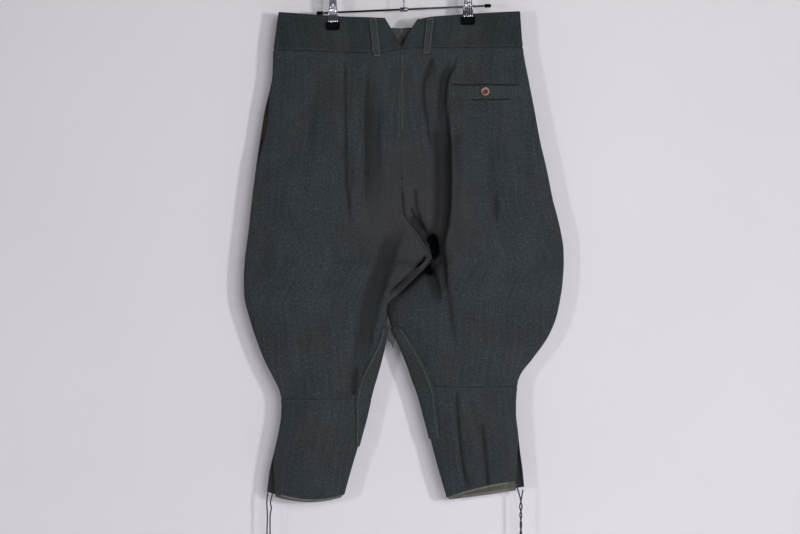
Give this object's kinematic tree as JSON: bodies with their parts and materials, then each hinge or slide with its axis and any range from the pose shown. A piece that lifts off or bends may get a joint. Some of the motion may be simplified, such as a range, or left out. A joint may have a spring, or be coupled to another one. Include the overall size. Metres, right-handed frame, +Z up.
{
  "type": "riding breeches on a clip hanger",
  "caption": "Heavy wool riding breeches with flared thighs, laced calves and a notched high waistband, hung from a clip hanger.",
  "frame": {"origin": "the point at the top of the hook's inside, where it rests on a rail", "axes": "+Z up, -Y the seat side of the breeches, +Y the fly side, +X the wearer's right"},
  "size_m": [0.592, 0.0795, 1.1825],
  "materials": {
    "wool": "matt coarse wool twill, slate grey-green, heathered",
    "lining": "matt plain cotton, pale olive",
    "facing": "matt cotton drill, rust brown",
    "lace": "round woven lace, grey-brown",
    "button": "horn brown, softly polished",
    "chrome": "bright plated steel",
    "rubber": "satin black"
  },
  "bodies": {
    "root": {"band_back_left": "wool", "back_left": "wool", "calf_back_left": "wool", "band_front_left": "wool", "front_left": "wool", "calf_front_left": "wool", "band_back_right": "wool", "back_right": "wool", "calf_back_right": "wool", "band_front_right": "wool", "front_right": "wool", "calf_front_right": "wool", "calf_lining_back_left": "lining", "calf_lining_front_left": "lining", "calf_lining_back_right": "lining", "calf_lining_front_right": "lining", "strapping_left": "wool", "strapping_right": "wool", "loop_back_left": "wool", "loop_back_right": "wool", "loop_front_left": "wool", "loop_front_right": "wool", "pocket_welt": "wool", "fly": "wool", "band_lining_left": "lining", "band_lining_right": "lining", "pocket_facing": "facing", "pocket_button": "button", "band_button": "button", "lace_left_front": "lace", "lace_left_back": "lace", "lace_right_back": "lace", "lace_right_front": "lace", "hanger_bar": "chrome", "hanger_ferrule": "chrome", "hanger_cap_left": "rubber", "hanger_cap_right": "rubber", "hanger_hook": "chrome", "clip_left_jaw_back": "chrome", "clip_left_boot_back": "rubber", "clip_left_jaw_front": "chrome", "clip_left_boot_front": "rubber", "clip_left_spring": "chrome", "clip_right_jaw_back": "chrome", "clip_right_boot_back": "rubber", "clip_right_jaw_front": "chrome", "clip_right_boot_front": "rubber", "clip_right_spring": "chrome"}
  },
  "joints": []
}
